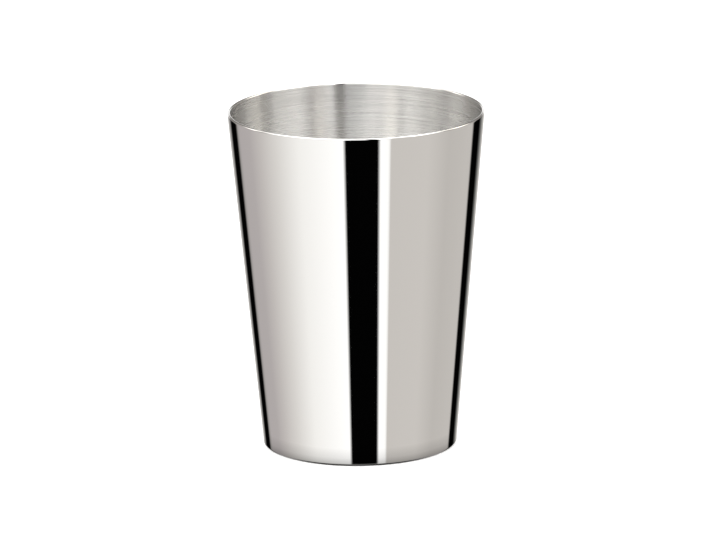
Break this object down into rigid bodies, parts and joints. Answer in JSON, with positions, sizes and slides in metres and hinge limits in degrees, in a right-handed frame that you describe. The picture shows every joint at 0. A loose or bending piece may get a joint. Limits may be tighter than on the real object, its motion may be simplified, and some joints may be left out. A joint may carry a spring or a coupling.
{
  "type": "deep drawn cup",
  "caption": "Tapered round cup drawn from one piece of steel sheet, with a round burnished lip, a tight corner at the foot and a shallow push-up in the base.",
  "frame": {"origin": "on the cup's axis, at the surface that its foot stands on", "axes": "+Z along the axis, up out of the mouth; the cup is round, so +X and +Y are any two directions square to it"},
  "size_m": [0.0752, 0.0752, 0.1],
  "materials": {
    "steel": "polished"
  },
  "bodies": {
    "root": {"cup": "steel"}
  },
  "joints": []
}
